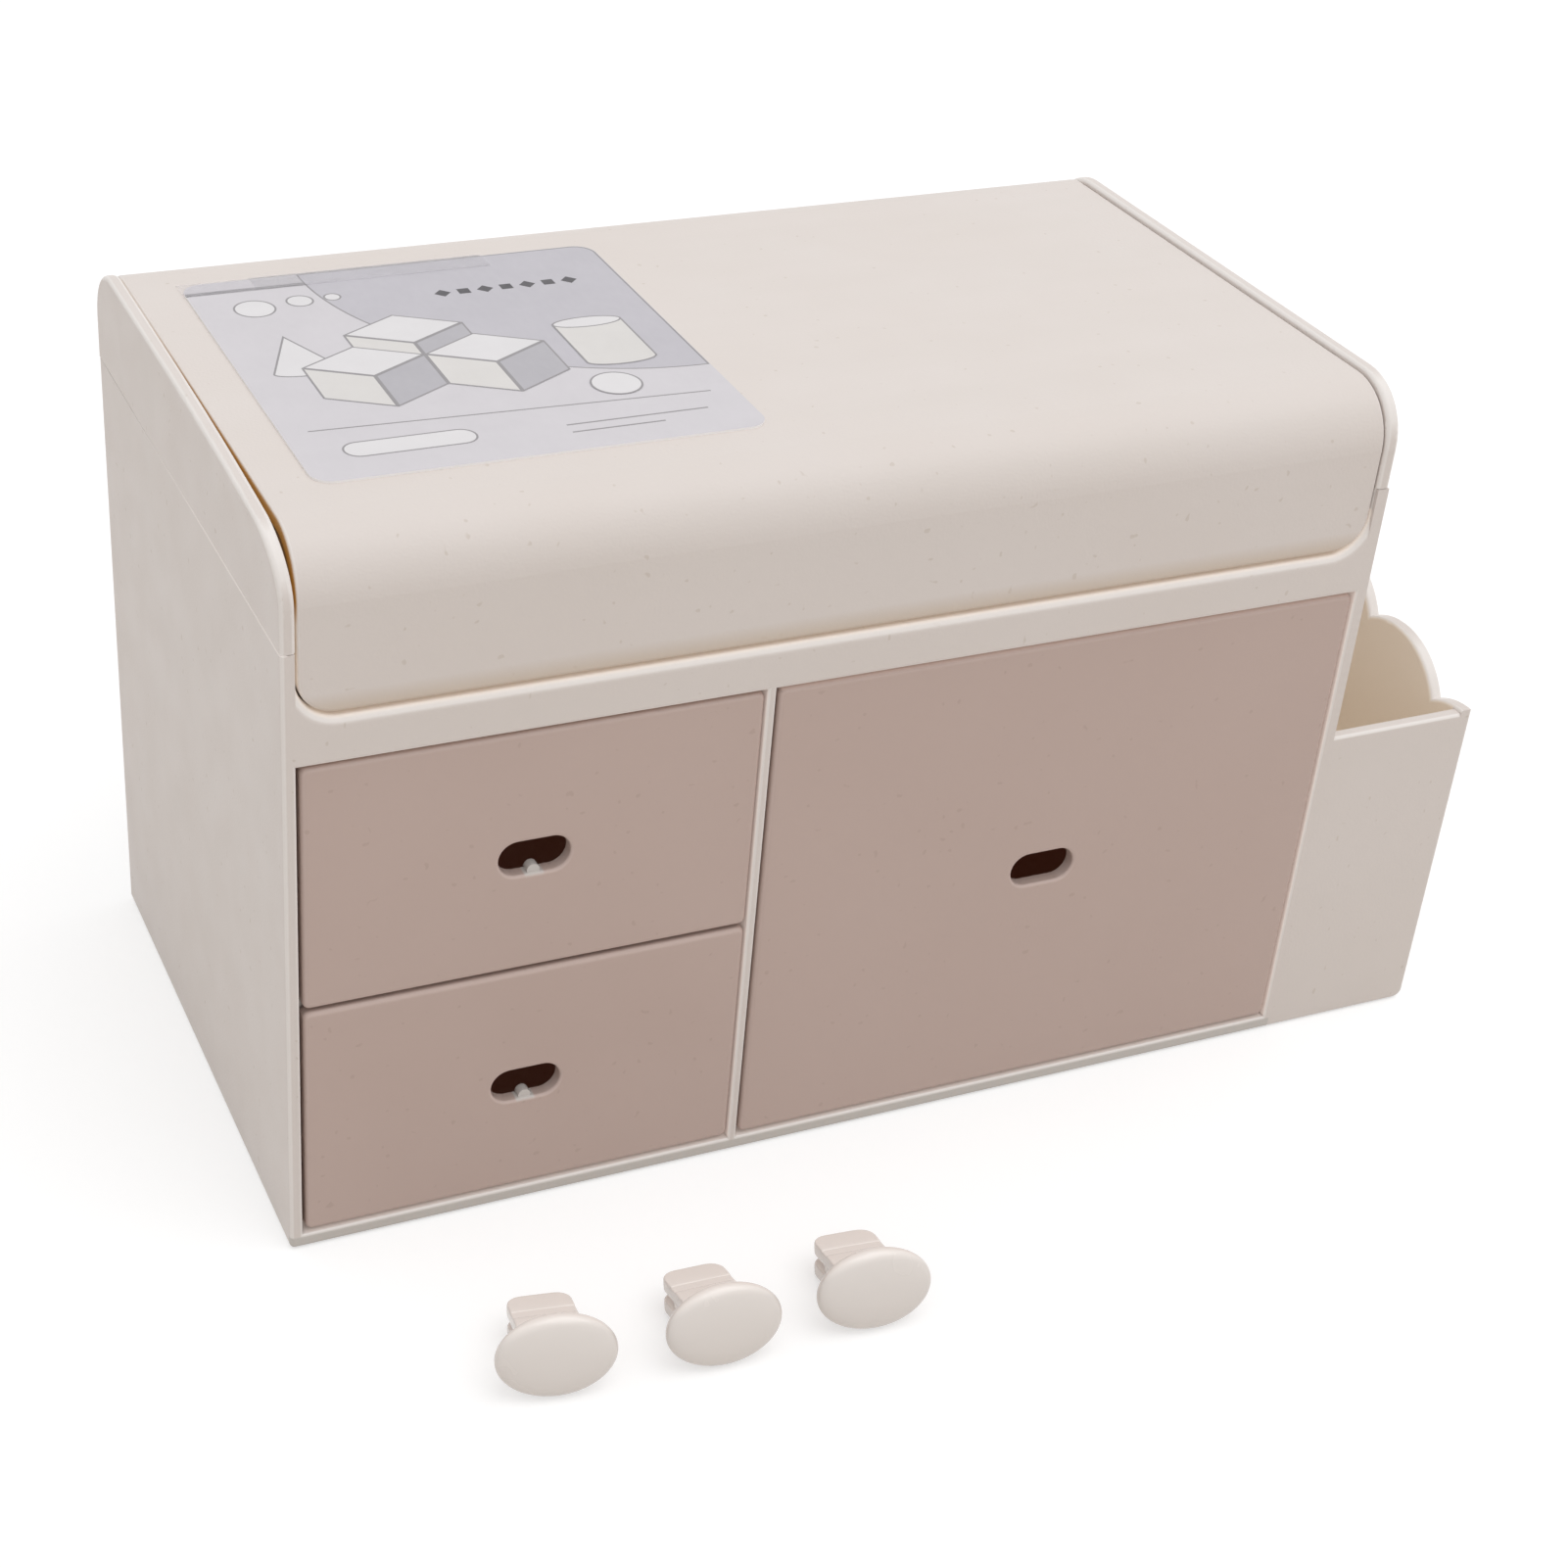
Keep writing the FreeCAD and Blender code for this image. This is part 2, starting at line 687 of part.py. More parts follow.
# Domed head of a knob, turned about Y and then flattened to an oval
def make_knob_head():
    dome_middle = head_half_width / 2
    dome_radius = (head_half_width ** 2 + head_dome ** 2) / (2 * head_dome)
    middle_height = math.sqrt(dome_radius ** 2 - dome_middle ** 2) - dome_radius + head_dome
    centre = Vector(0, 0, 0)
    rim_back = Vector(head_half_width, 0, 0)
    rim_front = Vector(head_half_width, -head_rim, 0)
    on_dome = Vector(dome_middle, -head_rim - middle_height, 0)
    apex = Vector(0, -head_rim - head_dome, 0)
    edges = [
        Part.makeLine(centre, rim_back),
        Part.makeLine(rim_back, rim_front),
        Part.Arc(rim_front, on_dome, apex).toShape(),
        Part.makeLine(apex, centre),
    ]
    turned = Part.Face(Part.Wire(edges)).revolve(centre, Vector(0, 1, 0), math.degrees(2 * math.pi))
    turned = turned.makeFillet(head_front_round, edges_within(turned, y0=-head_rim, y1=-head_rim))
    turned = turned.makeFillet(head_back_round, edges_within(turned, y0=0, y1=0))
    flatten = Matrix()
    flatten.scale(1, 1, head_half_height / head_half_width)
    return turned.transformGeometry(flatten)


# Stem of a knob: two stepped legs with a slit between them, joined by a bridge under the steps
def make_knob_stem():
    first = neck_length + step_length
    second = first + step_groove
    inner = leg_outer_half - leg_thickness
    root = -head_rim / 2
    half = (slot_length - stem_side_room) / 2
    leg = [
        (root, inner, 0),
        (root, leg_outer_half, 0),
        (neck_length, leg_outer_half, 0),
        (neck_length, step_outer_half, 0),
        (first, step_outer_half, 0),
        (first, leg_outer_half, 0),
        (second, leg_outer_half, 0),
        (second, step_outer_half, 0),
        (stem_length, step_outer_half, tip_round),
        (stem_length, inner, 0),
    ]
    upper = prism_along_x(leg, -half, half)
    lower = prism_along_x([(y, -z, radius) for y, z, radius in leg], -half, half)
    bridge_half = half - bridge_inset
    bridge = box(-bridge_half, bridge_half, neck_length, second, -leg_outer_half, leg_outer_half)
    plan = [
        (-half, root, 0),
        (half, root, 0),
        (half, stem_length, stem_corner_radius),
        (-half, stem_length, stem_corner_radius),
    ]
    return upper.fuse([lower, bridge]).common(prism_along_z(plan, -step_outer_half, step_outer_half))


# A knob lies on its head's rim and its stem's tip
def make_knob(across, ahead, turn_deg):
    knob = make_knob_head().fuse(make_knob_stem()).removeSplitter()
    tilt = -math.degrees(math.atan2(head_half_height - step_outer_half, stem_length))
    knob.rotate(Vector(0, 0, 0), Vector(1, 0, 0), tilt)
    knob.rotate(Vector(0, 0, 0), Vector(0, 0, 1), turn_deg)
    lowest = knob.optimalBoundingBox(False, False).ZMin
    knob.translate(Vector(left + across, front - ahead, -lowest))
    return knob


def make_card():
    x1 = card_left + card_width
    radius = card_corner_radius
    outline = [
        (card_left, card_front, radius),
        (x1, card_front, radius),
        (x1, card_rear, radius),
        (card_left, card_rear, radius),
    ]
    return prism_along_z(outline, lid_top, lid_top + card_thickness)


# Under side of a layer of tape: over the card, down past its rear edge and along the lid
def tape_surface(layer):
    lift = tape_thickness * layer
    return [
        (card_rear - tape_on_card, lid_top + card_thickness + lift, 0),
        (card_rear + lift, lid_top + card_thickness + lift, 0),
        (card_rear + tape_slope + lift, lid_top + lift, 0),
        (card_rear + tape_on_lid, lid_top + lift, 0),
    ]


def make_tape(x0, layer):
    outline = tape_surface(layer) + tape_surface(layer + 1)[::-1]
    return prism_along_x(outline, x0, tape_right)


shapes = {
    "lower_case": make_lower_case(),
    "upper_frame": make_upper_frame(),
    "lid": make_lid(),
    "tray": make_tray(),
    "tray_partition": make_partition(),
    "drawer_shelf": make_shelf(),
    "small_drawer_lower": make_small_drawer(lower_front_bottom, lower_front_top, floor_thickness),
    "small_drawer_upper": make_small_drawer(upper_front_bottom, large_front_top, shelf_top),
    "large_drawer": make_large_drawer(),
    "knob_left": make_knob(knob_left_across, knob_left_ahead, knob_left_turn_deg),
    "knob_middle": make_knob(knob_middle_across, knob_middle_ahead, knob_middle_turn_deg),
    "knob_right": make_knob(knob_right_across, knob_right_ahead, knob_right_turn_deg),
    "insert_card": make_card(),
    "under_tape": make_tape(card_left - under_tape_overhang, 0),
    "over_tape": make_tape(card_left + over_tape_inset, 1),
}

os.makedirs("parts", exist_ok=True)
for name, shape in shapes.items():
    print(name, shape.ShapeType, len(shape.Solids), round(shape.Volume), shape.isValid())
    shape.exportStep("parts/" + name + ".step")
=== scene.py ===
import bpy
import bmesh
import math
from mathutils import Matrix, Vector


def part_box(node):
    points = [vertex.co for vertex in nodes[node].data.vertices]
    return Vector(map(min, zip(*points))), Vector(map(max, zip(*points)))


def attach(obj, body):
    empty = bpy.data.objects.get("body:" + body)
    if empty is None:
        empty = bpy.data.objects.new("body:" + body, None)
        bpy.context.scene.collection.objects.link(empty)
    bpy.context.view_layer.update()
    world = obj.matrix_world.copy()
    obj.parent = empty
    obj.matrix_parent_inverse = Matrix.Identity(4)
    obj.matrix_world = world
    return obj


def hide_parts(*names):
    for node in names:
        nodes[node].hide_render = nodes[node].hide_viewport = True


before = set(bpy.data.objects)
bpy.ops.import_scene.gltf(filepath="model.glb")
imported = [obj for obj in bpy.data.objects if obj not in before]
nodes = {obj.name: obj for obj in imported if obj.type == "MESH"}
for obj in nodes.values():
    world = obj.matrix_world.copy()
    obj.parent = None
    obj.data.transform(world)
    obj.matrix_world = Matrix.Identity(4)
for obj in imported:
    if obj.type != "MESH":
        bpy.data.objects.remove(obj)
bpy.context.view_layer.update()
mm = 0.001
print("frame loaded:", len(nodes), "nodes")

# the camera stands in front of the box, to its left and above it
photoCamera = {
    "place": (-173.51, -327.68, 262.05),
    "right": (0.92329, -0.38064, 0.05153),
    "up": (0.16573, 0.51580, 0.84053),
    "back": (-0.34651, -0.76751, 0.53931),
    "sensor": 36,
    "lens": 63.966,
    "shift": (0.0996, 0.0152),
    "clip": (0.01, 20),  # in metres
}


def addCamera(values):
    data = bpy.data.cameras.new("photoCamera")
    data.sensor_width = values["sensor"]
    data.lens = values["lens"]
    data.shift_x, data.shift_y = values["shift"]
    data.clip_start, data.clip_end = values["clip"]
    camera = bpy.data.objects.new("photoCamera", data)
    bpy.context.scene.collection.objects.link(camera)
    turn = Matrix((values["right"], values["up"], values["back"])).transposed().to_4x4()
    camera.matrix_world = Matrix.Translation(Vector(values["place"]) * mm) @ turn
    bpy.context.scene.camera = camera


addCamera(photoCamera)
print("camera placed")


# a new shader node, whose inputs are sockets to link or plain values
def addNode(tree, kind, inputs=None, **settings):
    node = tree.nodes.new(kind)
    for name, value in settings.items():
        setattr(node, name, value)
    for name, value in (inputs or {}).items():
        if isinstance(value, bpy.types.NodeSocket):
            tree.links.new(value, node.inputs[name])
        else:
            node.inputs[name].default_value = value
    return node


def addNoise(tree, point, scale, detail=2.0, stretch=None):
    if stretch:
        point = addNode(tree, "ShaderNodeMapping", {"Vector": point, "Scale": stretch}).outputs[0]
    noise = addNode(tree, "ShaderNodeTexNoise", {"Vector": point, "Scale": scale, "Detail": detail})
    return noise.outputs[0]


def addRange(tree, value, low, high, toLow=0.0, toHigh=1.0):
    inputs = {"Value": value, "From Min": low, "From Max": high, "To Min": toLow, "To Max": toHigh}
    return addNode(tree, "ShaderNodeMapRange", inputs).outputs[0]


def addMath(tree, operation, first, second):
    return addNode(tree, "ShaderNodeMath", {0: first, 1: second}, operation=operation).outputs[0]


# goes from one colour, or colour socket, to another
def addTint(tree, share, first, second):
    mix = tree.nodes.new("ShaderNodeMix")
    mix.data_type = "RGBA"
    for index, value in ((0, share), (6, first), (7, second)):
        if isinstance(value, bpy.types.NodeSocket):
            tree.links.new(value, mix.inputs[index])
        else:
            mix.inputs[index].default_value = value if index == 0 else (*value, 1)
    return mix.outputs[2]


edgeSpan = (0.99, 0.9)  # largest part of the facing where an edge's bend begins, and where it is full
bendSpan = (0.08, 0.25)  # sideways part of the facing that tells the lid's rounded edges from its bend
facingSpan = (0.6, 0.9)  # part of the facing along an axis where a surface begins to face that way, and does
gapReach = 3 * mm
gapSpan = (0.6, 0.3)  # share of the light that comes in at the mouth of a narrow gap, and deep in it


# one on rounded edges and corners, where the surface faces none of the six main ways
def addEdgeMask(tree, facings, bigBend):
    sizes = [addMath(tree, "ABSOLUTE", facing, 0.0) for facing in facings]
    largest = addMath(tree, "MAXIMUM", addMath(tree, "MAXIMUM", sizes[0], sizes[1]), sizes[2])
    edge = addRange(tree, largest, *edgeSpan)
    if bigBend:  # the lid's wide bend isn't an edge, and it never faces sideways
        edge = addMath(tree, "MULTIPLY", edge, addRange(tree, sizes[0], *bendSpan))
    return edge


# one between two limits along one axis, in mm, with soft ends
def addZone(tree, value, low, high, soft=0.3):
    rise = addRange(tree, value, (low - soft) * mm, low * mm)
    fall = addRange(tree, value, (high + soft) * mm, high * mm)
    return addMath(tree, "MULTIPLY", rise, fall)


# one in narrow gaps, where a near neighbour shuts out most of the light, and nought where the gap is open
def addGapMask(tree):
    shade = addNode(tree, "ShaderNodeAmbientOcclusion", {"Distance": gapReach}, samples=3)
    return addRange(tree, shade.outputs["AO"], *gapSpan)


# one inside a zone's box, and only on surfaces that face its way, or only in a gap, where the zone says so
def addZoneBox(tree, places, facings, gap, zone):
    shares = [addZone(tree, place, *limits) for place, limits in zip(places, zone["limits"])]
    if "facing" in zone:
        axis, sign = zone["facing"]
        begin, full = [sign * part for part in facingSpan]
        shares.append(addRange(tree, facings[axis], begin, full))
    if "inGap" in zone:
        shares.append(gap)
    inside = shares[0]
    for share in shares[1:]:
        inside = addMath(tree, "MULTIPLY", inside, share)
    return inside


# the three parts of a vector
def splitVector(tree, vector):
    return list(addNode(tree, "ShaderNodeSeparateXYZ", {0: vector}).outputs)


def newMaterial(name):
    material = bpy.data.materials.new(name)
    material.use_nodes = True
    return material, material.node_tree, material.node_tree.nodes["Principled BSDF"]


# the patterns in moulded plastic: how fine each is, its detail, and the span of its values that shows
plasticPatterns = {
    "cloud": {"scale": 28, "detail": 2, "span": (0.35, 0.65)},
    "flow": {"scale": 1, "detail": 2, "span": (0.42, 0.72)},
    "speck": {"scale": 900, "detail": 0, "span": (0.80, 0.85)},
    "wear": {"scale": 130, "detail": 3, "span": (0.35, 0.65)},
    "grain": {"scale": 2600, "detail": 0},
    "wave": {"scale": 75, "detail": 0},
}
rubSpan = (0.5, 0.7)  # the span of the wear that rubs the edges dull
waveShare = 1.6  # height of the waves over that of the grain
grainDepth = 0.2 * mm


def addPattern(tree, point, name, stretch=None):
    pattern = plasticPatterns[name]
    return addNoise(tree, point, pattern["scale"], pattern["detail"], stretch)


# cloudy tone, faint flow lines and small specks, then a painted highlight on rounded edges, and then the
# painted light and shade of single zones
def addPlasticColour(tree, point, places, facings, edge, gap, finish):
    cloud = addRange(tree, addPattern(tree, point, "cloud"), *plasticPatterns["cloud"]["span"])
    colour = addTint(tree, cloud, finish["colour"], finish["cloudColour"])
    flow = addPattern(tree, point, "flow", finish["flowStretch"])
    flow = addRange(tree, flow, *plasticPatterns["flow"]["span"], 0, finish["flowShare"])
    colour = addTint(tree, flow, colour, finish["flowColour"])
    speck = addPattern(tree, point, "speck")
    speck = addRange(tree, speck, *plasticPatterns["speck"]["span"], 0, finish["speckShare"])
    colour = addTint(tree, speck, colour, finish["speckColour"])
    # painted highlight: rounded edges are made paler
    paintedEdgeHighlight = addMath(tree, "MULTIPLY", edge, finish["edgeHighlightShare"])
    colour = addTint(tree, paintedEdgeHighlight, colour, finish["edgeHighlightColour"])
    # painted light and shade in single zones
    for tone in finish["paintedLightAndShade"]:
        colour = addTint(tree, addZoneBox(tree, places, facings, gap, tone), colour, tone["colour"])
    return colour


# an uneven gloss, duller where edges are rubbed
def addPlasticGloss(tree, point, edge, finish):
    wear = addPattern(tree, point, "wear")
    rub = addMath(tree, "MULTIPLY", addRange(tree, wear, *rubSpan, 0, finish["rubRoughness"]), edge)
    gloss = addRange(tree, wear, *plasticPatterns["wear"]["span"], *finish["roughness"])
    return addMath(tree, "ADD", gloss, rub)


# a fine grain on slow waves
def addPlasticRelief(tree, point, finish):
    wave = addMath(tree, "MULTIPLY", addPattern(tree, point, "wave"), waveShare)
    height = addMath(tree, "ADD", addPattern(tree, point, "grain"), wave)
    inputs = {"Height": height, "Strength": finish["bump"], "Distance": grainDepth}
    return addNode(tree, "ShaderNodeBump", inputs).outputs[0]


# painted light: an emission colour in single zones, for light that comes through thin plastic and shows as a
# faint warm tone where little other light comes
def addPaintedPlasticLight(tree, places, facings, gap, finish):
    light = (0, 0, 0)
    for glow in finish["paintedLights"]:
        light = addTint(tree, addZoneBox(tree, places, facings, gap, glow), light, glow["colour"])
    return light


def mouldPlastic(name, finish):
    material, tree, surface = newMaterial(name)
    coords = tree.nodes.new("ShaderNodeTexCoord")
    point = coords.outputs["Object"]
    places = splitVector(tree, point)
    facings = splitVector(tree, coords.outputs["Normal"])
    edge = addEdgeMask(tree, facings, finish["bigBend"])
    gap = addGapMask(tree) if finish["besideGap"] else None
    made = {
        "Base Color": addPlasticColour(tree, point, places, facings, edge, gap, finish),
        "Roughness": addPlasticGloss(tree, point, edge, finish),
        "Normal": addPlasticRelief(tree, point, finish),
        "Emission Color": addPaintedPlasticLight(tree, places, facings, gap, finish),
    }
    for socket, value in made.items():
        tree.links.new(value, surface.inputs[socket])
    surface.inputs["Emission Strength"].default_value = 1
    surface.inputs["Specular IOR Level"].default_value = finish["specular"]
    surface.inputs["Coat Weight"].default_value = finish["coat"]
    surface.inputs["Coat Roughness"].default_value = finish["coatRoughness"]
    return material


# Zones have limits in mm along X, Y and Z, and the width of their soft ends where it isn't 0.3.
# A facing is an axis and its sign: the zone is only on the surfaces that face that way.
leftwards, rightwards, upwards, downwards = (0, -1), (0, 1), (2, 1), (2, -1)
pocketInside = ((68.3, 90.85), (-43.1, 43.2), (2.0, 100))
baseStrip = ((-93, 67), (-46, -44.4), (-1, 1.7))
cheekSeam = ((-94.5, -92.3), (-50, -10, 45), (94.3, 94.5, 0.12))
rightDrawerGap = ((66, 67), (-46, -42), (2.5, 78))
dividerGap = ((-28, -26), (-46, -42), (2.5, 78))
floorGap = ((-90.6, 66), (-44.6, -42), (1.9, 2.5))
railTop = ((-91.3, 66.4), (-44.6, -43.4), (84.3, 91))
lidGapWide = ((-46, 4, 22), (101, 120, 3))  # where the gap on the lid's left is wide, along Y and Z
lidGapLong = ((-50, 50), (85, 120))  # the whole of that gap
lidGapLow, lidGapHigh = ((-50, 50), (85, 94.4)), ((-50, 50), (94.4, 120))  # beside the case and the frame
lidSide = (-91, -90.7, 0.05)
caseSide = (-91.9, -90.5)
cheekSide = (-92.6, -90.5)
lidFoot = ((-95, 70), (-46, -43), (84, 85.5, 2.6))
lidUnderEdge = ((-91, 67), (-45, -38), (84, 86))
drawersInside = ((-92, 68), (-42.4, 50), (0, 90))
smallDrawerTops = ((-92, -26), (-46, -42.6), (76, 79))
largeDrawerTop = ((-25, 68), (-46, -42.6), (76, 79))
slotPins = [((-59.9, -57.5), (-44.6, -42.8), heights) for heights in ((17.4, 19.2), (55.2, 57.1))]
# painted light in the gap beside the lid and along the cheek's seam: emission colours, and an ochre tint of
# the base colour
paintedPaleGapLight, paintedOchreGapLight, paintedOchreGapTint = (0.11, 0.09, 0.065), (0.085, 0.038, 0.004), (0.45, 0.27, 0.10)
paintedSeamLight = (0.15, 0.148, 0.146)

creamPlastic = {
    "colour": (0.733, 0.672, 0.636),
    "cloudColour": (0.724, 0.660, 0.620),
    "flowStretch": (9, 130, 130),  # the flow lines run along the box
    "flowShare": 0.35,
    "flowColour": (0.705, 0.648, 0.606),
    "speckShare": 0.35,
    "speckColour": (0.52, 0.44, 0.36),
    # painted highlight on rounded edges
    "edgeHighlightShare": 0.75,
    "edgeHighlightColour": (0.89, 0.85, 0.82),
    "bigBend": False,
    "besideGap": False,
    "roughness": (0.40, 0.48),
    "rubRoughness": 0.15,
    "bump": 0.10,
    "specular": 0.28,
    "coat": 0.0,
    "coatRoughness": 0.12,
    # painted light inside the side pocket, and painted shade along the strip at the foot of the front
    "paintedLightAndShade": [
        {"limits": pocketInside, "colour": (0.82, 0.745, 0.66)},
        {"limits": baseStrip, "colour": (0.60, 0.565, 0.53)},
    ],
    # painted light: a glow inside the pocket, beside the lid, on the rail's top, in the gaps beside the
    # drawers and above the floor, and along the cheek's seam
    "paintedLights": [
        {"limits": pocketInside, "colour": (0.135, 0.108, 0.072)},
        {"limits": (caseSide, *lidGapLow), "facing": rightwards, "colour": paintedPaleGapLight},
        {"limits": railTop, "colour": (0.145, 0.118, 0.092)},
        {"limits": rightDrawerGap, "facing": leftwards, "colour": (0.17, 0.14, 0.125)},
        {"limits": dividerGap, "facing": leftwards, "colour": (0.12, 0.10, 0.09)},
        {"limits": floorGap, "facing": upwards, "colour": (0.10, 0.085, 0.075)},
        {"limits": cheekSeam, "colour": paintedSeamLight},
    ],
}

# painted light in the gap beside the lid: pale along its whole length and ochre where it is wide
framePlastic = dict(
    creamPlastic,
    besideGap=True,
    paintedLightAndShade=[{"limits": (cheekSide, *lidGapWide), "facing": rightwards, "inGap": True, "colour": paintedOchreGapTint}],
    paintedLights=[
        {"limits": (caseSide, *lidGapHigh), "facing": rightwards, "inGap": True, "colour": paintedPaleGapLight},
        {"limits": (cheekSide, *lidGapWide), "facing": rightwards, "inGap": True, "colour": paintedOchreGapLight},
        {"limits": cheekSeam, "colour": paintedSeamLight},
    ],
)

lidPlastic = dict(
    creamPlastic,
    bigBend=True,
    besideGap=True,
    # a weaker painted highlight on the lid's rounded edges
    edgeHighlightShare=0.5,
    # painted shade at the lid's foot, and painted ochre light on the lid's side where the gap is wide
    paintedLightAndShade=[
        {"limits": lidFoot, "colour": (0.63, 0.53, 0.44)},
        {"limits": ((-91, -90.6), *lidGapWide), "facing": leftwards, "inGap": True, "colour": paintedOchreGapTint},
    ],
    # painted light under the lid's lower edge and on its side in the gap
    paintedLights=[
        {"limits": lidUnderEdge, "facing": downwards, "colour": (0.13, 0.105, 0.08)},
        {"limits": (lidSide, *lidGapLong), "facing": leftwards, "inGap": True, "colour": paintedPaleGapLight},
        {"limits": (lidSide, *lidGapWide), "facing": leftwards, "inGap": True, "colour": paintedOchreGapLight},
    ],
)

rosePlastic = dict(
    creamPlastic,
    colour=(0.545, 0.423, 0.377),
    cloudColour=(0.535, 0.413, 0.367),
    flowStretch=(25, 60, 8),  # the flow lines run up the drawer fronts
    flowColour=(0.523, 0.401, 0.355),
    speckShare=0.25,
    speckColour=(0.36, 0.25, 0.20),
    # painted highlight on the drawers' rounded edges
    edgeHighlightShare=0.5,
    edgeHighlightColour=(0.62, 0.495, 0.45),
    roughness=(0.30, 0.38),
    bump=0.06,
    specular=0.36,
    # painted highlight on the pins seen through the drawer slots
    paintedLightAndShade=[{"limits": limits, "colour": (0.62, 0.58, 0.55)} for limits in slotPins],
    # painted light inside the drawers and on their tops in the gaps above them
    paintedLights=[
        {"limits": drawersInside, "colour": (0.012, 0.0038, 0.0022)},
        {"limits": smallDrawerTops, "facing": upwards, "colour": (0.030, 0.014, 0.008)},
        {"limits": largeDrawerTop, "facing": upwards, "colour": (0.13, 0.095, 0.08)},
    ],
)

knobPlastic = dict(
    creamPlastic,
    colour=(0.765, 0.71, 0.67),
    cloudColour=(0.76, 0.70, 0.655),
    flowShare=0.1,
    speckShare=0.0,
    edgeHighlightShare=0.0,
    roughness=(0.14, 0.20),
    bump=0.02,
    specular=0.5,
    coat=0.4,
    paintedLightAndShade=[],
    # painted light on the knobs' upward faces
    paintedLights=[{"limits": ((-95, 95), (-90, -40), (-1, 20)), "facing": upwards, "colour": (0.13, 0.12, 0.115)}],
)

cream = mouldPlastic("creamPlastic", creamPlastic)
frameCream = mouldPlastic("framePlastic", framePlastic)
lidCream = mouldPlastic("lidPlastic", lidPlastic)
rose = mouldPlastic("rosePlastic", rosePlastic)
knobWhite = mouldPlastic("knobPlastic", knobPlastic)
print("plastics made")

# the smooth paper of the sheet on the lid and the inks printed on it
sheetPaper = {
    "paper": (0.645, 0.618, 0.645),
    "inks": {
        "wallInk": (0.525, 0.505, 0.545),
        "shadeInk": (0.455, 0.440, 0.470),
        "paleInk": (0.745, 0.725, 0.735),
        "creamInk": (0.700, 0.675, 0.655),
        "lineInk": (0.30, 0.285, 0.295),
        "darkInk": (0.075, 0.070, 0.078),
    },
    "paintedSideLight": (0.93, 0.91, 0.90),  # painted light on the side faces of the sheet and the inks, where shade falls
    "paintedSideSpan": (0.7, 0.3),  # upward part of the facing where the painted side light begins, and where it is full
    "soft": 0.965,  # how much darker the mottles are
    "mottleScale": 160,
    "mottleDetail": 3,
    "fibreScale": 900,
    "fibreDetail": 6,
    "fibreStretch": (1, 0.5, 1),
    "fibreBump": 0.05,
    "fibreDepth": 0.1 * mm,
    "span": (0.3, 0.7),  # the span of both patterns' values that shows
    "roughness": (0.38, 0.52),
}


def coatPaper(name, colour, values=sheetPaper):
    material, tree, surface = newMaterial(name)
    coords = tree.nodes.new("ShaderNodeTexCoord").outputs
    point = coords["Object"]
    fibre = addNoise(tree, point, values["fibreScale"], values["fibreDetail"], values["fibreStretch"])
    mottle = addNoise(tree, point, values["mottleScale"], values["mottleDetail"])
    mottle = addRange(tree, mottle, *values["span"])
    tone = addTint(tree, mottle, colour, [part * values["soft"] for part in colour])
    # painted light: the side faces are made paler
    upright = addMath(tree, "ABSOLUTE", splitVector(tree, coords["Normal"])[2], 0.0)
    tone = addTint(tree, addRange(tree, upright, *values["paintedSideSpan"]), tone, values["paintedSideLight"])
    tree.links.new(tone, surface.inputs["Base Color"])
    gloss = addRange(tree, fibre, *values["span"], *values["roughness"])
    tree.links.new(gloss, surface.inputs["Roughness"])
    inputs = {"Height": fibre, "Strength": values["fibreBump"], "Distance": values["fibreDepth"]}
    tree.links.new(addNode(tree, "ShaderNodeBump", inputs).outputs[0], surface.inputs["Normal"])
    return material


paper = coatPaper("sheetPaper", sheetPaper["paper"])
inks = {name: coatPaper(name, colour) for name, colour in sheetPaper["inks"].items()}
inkNames = list(inks)

clearTape = {
    "colour": (0.78, 0.76, 0.79),
    "hazeShare": 1.12,  # how much paler the hazy stretches are
    "hazeScale": 240,
    "hazeDetail": 4,
    "hazeStretch": (1, 3, 1),
    "toneSpan": (0.35, 0.7),  # the spans of the haze's values that show in the tone and in the gloss
    "glossSpan": (0.3, 0.7),
    "hazeBump": 0.12,
    "hazeDepth": 0.2 * mm,
    "alpha": 0.09,
    "roughness": (0.16, 0.30),
}


def stretchTape(name, values):
    material, tree, surface = newMaterial(name)
    point = tree.nodes.new("ShaderNodeTexCoord").outputs["Object"]
    haze = addNoise(tree, point, values["hazeScale"], values["hazeDetail"], values["hazeStretch"])
    pale = [part * values["hazeShare"] for part in values["colour"]]
    tone = addTint(tree, addRange(tree, haze, *values["toneSpan"]), values["colour"], pale)
    tree.links.new(tone, surface.inputs["Base Color"])
    gloss = addRange(tree, haze, *values["glossSpan"], *values["roughness"])
    tree.links.new(gloss, surface.inputs["Roughness"])
    inputs = {"Height": haze, "Strength": values["hazeBump"], "Distance": values["hazeDepth"]}
    tree.links.new(addNode(tree, "ShaderNodeBump", inputs).outputs[0], surface.inputs["Normal"])
    surface.inputs["Alpha"].default_value = values["alpha"]
    return material


tape = stretchTape("clearTape", clearTape)
print("paper, inks and tape made")

nodeFinishes = {
    "lower_case": cream,
    "upper_frame": frameCream,
    "lid": lidCream,
    "tray": cream,
    "tray_partition": cream,
    "drawer_shelf": cream,
    "small_drawer_lower": rose,
    "small_drawer_upper": rose,
    "large_drawer": rose,
    "knob_left": knobWhite,
    "knob_middle": knobWhite,
    "knob_right": knobWhite,
    "insert_card": paper,
    "under_tape": tape,
    "over_tape": tape,
}
for nodeName, finish in nodeFinishes.items():
    slots = nodes[nodeName].data.materials
    slots.clear()
    slots.append(finish)
print("finishes on", len(nodeFinishes), "nodes")

